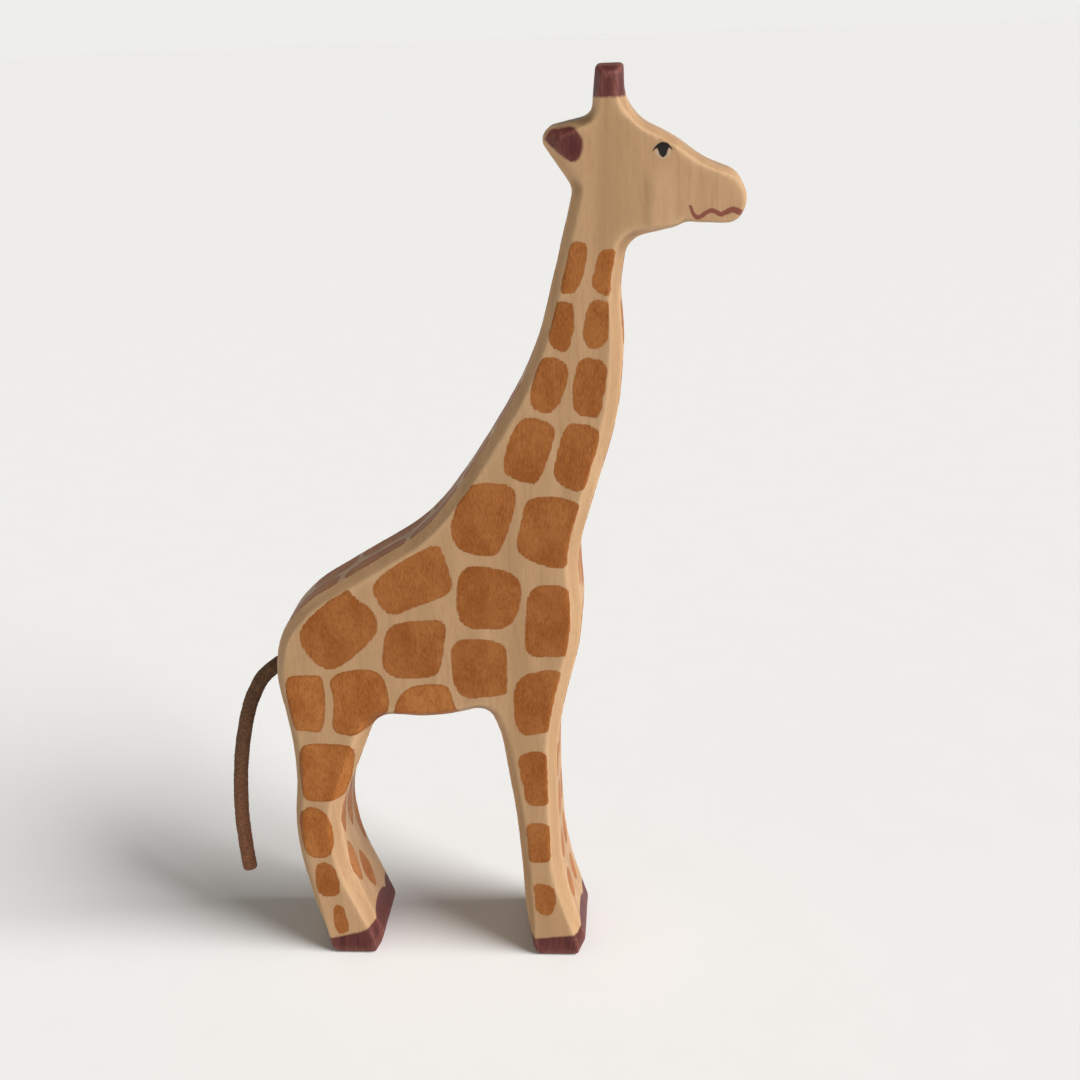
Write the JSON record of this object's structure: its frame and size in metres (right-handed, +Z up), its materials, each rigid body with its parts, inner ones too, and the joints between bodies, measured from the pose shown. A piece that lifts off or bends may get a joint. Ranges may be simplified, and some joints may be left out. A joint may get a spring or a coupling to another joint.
{
  "type": "carved giraffe statue",
  "caption": "Standing giraffe carved from one bevelled wooden board, with painted coat patches and a soft round lace glued into its rump as a tail.",
  "frame": {"origin": "on the floor, below the middle of the carved board's length and thickness, the tail left out", "axes": "+X forward, towards the nose; +Y to the giraffe's left, through the board's thickness; +Z up"},
  "size_m": [0.1438, 0.0276, 0.24],
  "materials": {
    "maple": "oiled satin, painted patches",
    "lace": "rough suede",
    "glue": "dried wood glue"
  },
  "bodies": {
    "root": {"carved_body": "maple", "tail_cord": "lace", "tail_glue": "glue"}
  },
  "joints": []
}
